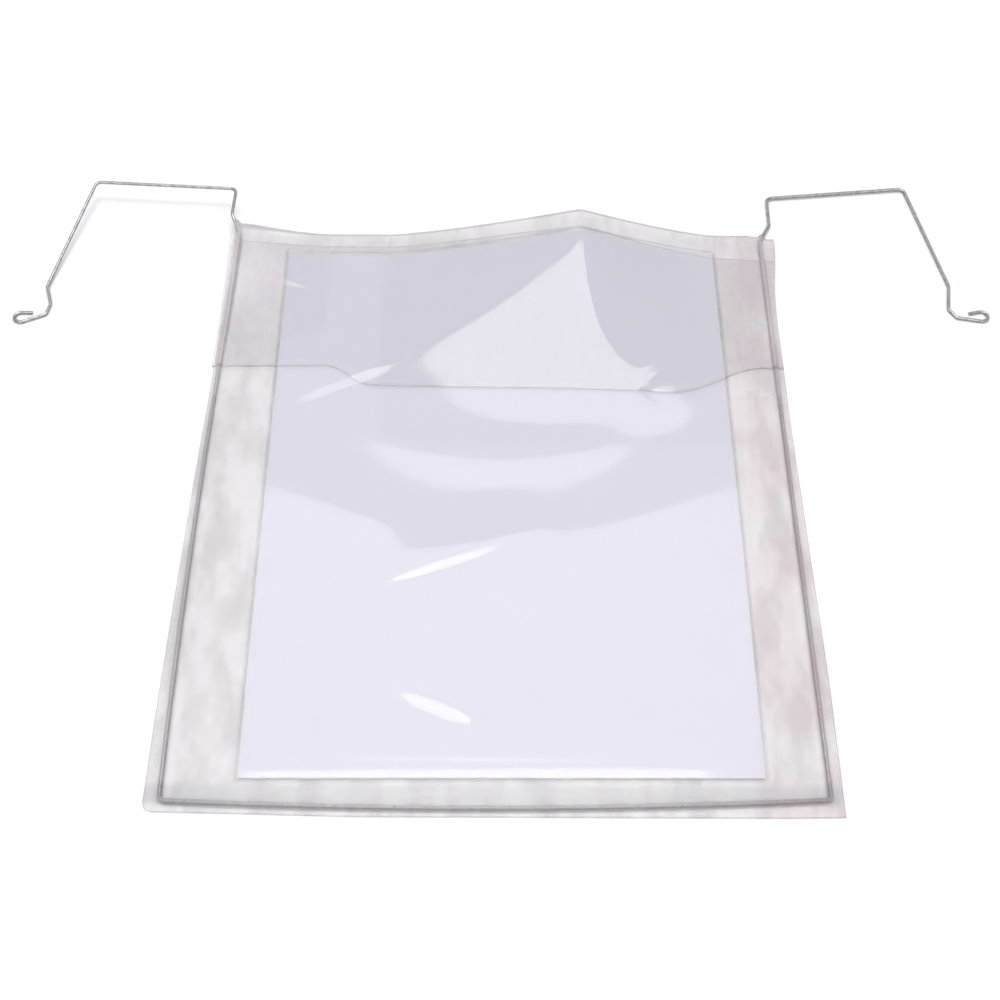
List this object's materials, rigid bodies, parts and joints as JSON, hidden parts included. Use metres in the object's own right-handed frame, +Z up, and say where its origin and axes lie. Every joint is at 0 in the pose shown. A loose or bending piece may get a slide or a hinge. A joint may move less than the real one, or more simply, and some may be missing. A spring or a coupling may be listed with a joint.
{
  "type": "wire document pocket",
  "caption": "Clear film pocket with a rain flap and a bent wire hanger welded into its edge, whose ends form hooks with eyes; a sheet of paper is inside.",
  "frame": {"origin": "on the table, under the middle of the whole part's box", "axes": "+X across the pocket to the right, +Y up the pocket towards the hooks, +Z up from the table, the front film's side"},
  "size_m": [0.4664, 0.3636, 0.0194],
  "materials": {
    "wire": "bright galvanised wire",
    "film": "clear glossy film",
    "paper": "plain matt"
  },
  "bodies": {
    "root": {"wire_hanger": "wire", "back_film_with_flap": "film", "front_film": "film", "document_sheet": "paper"}
  },
  "joints": []
}
